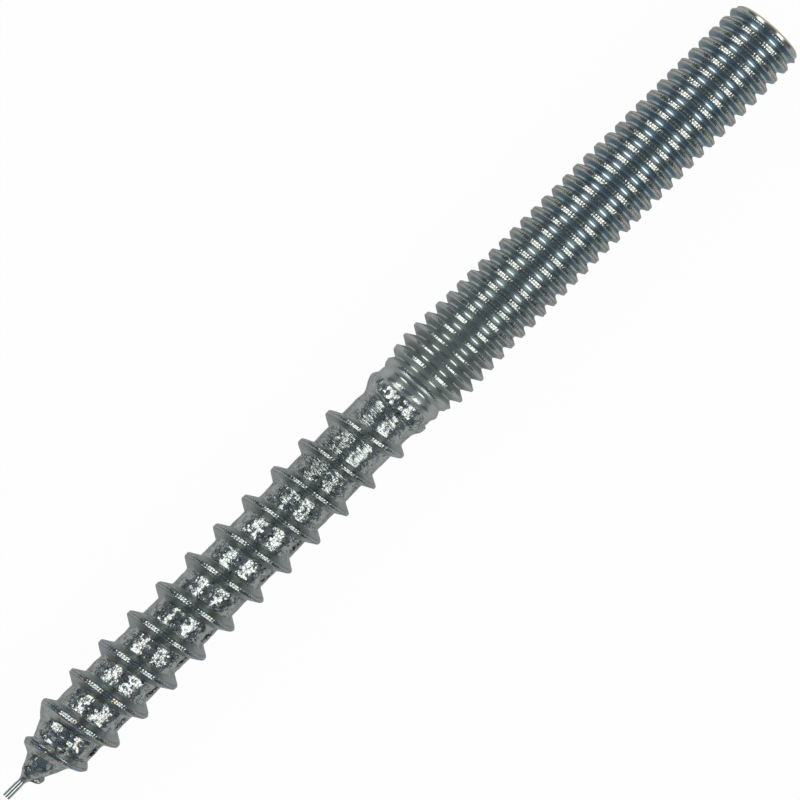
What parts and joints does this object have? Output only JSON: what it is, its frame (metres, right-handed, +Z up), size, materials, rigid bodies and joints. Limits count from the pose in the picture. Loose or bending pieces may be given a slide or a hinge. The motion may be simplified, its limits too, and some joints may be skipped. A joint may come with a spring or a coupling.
{
  "type": "hanger bolt",
  "caption": "Headless screw with a metric machine thread at one end and a pointed coarse wood thread at the other, for fixing a leg, pipe clip or fitting to wood.",
  "frame": {"origin": "on the bolt's axis, in the plane where the machine thread starts out of the collar", "axes": "+X along the axis towards the flat machine end, +Z up as the bolt lies on its side, +Y to its left"},
  "size_m": [0.072, 0.0058, 0.0058],
  "materials": {
    "zinc_plated_steel": "bright zinc plating with a blue passivated tint"
  },
  "bodies": {
    "root": {"hanger_bolt": "zinc_plated_steel"}
  },
  "joints": []
}
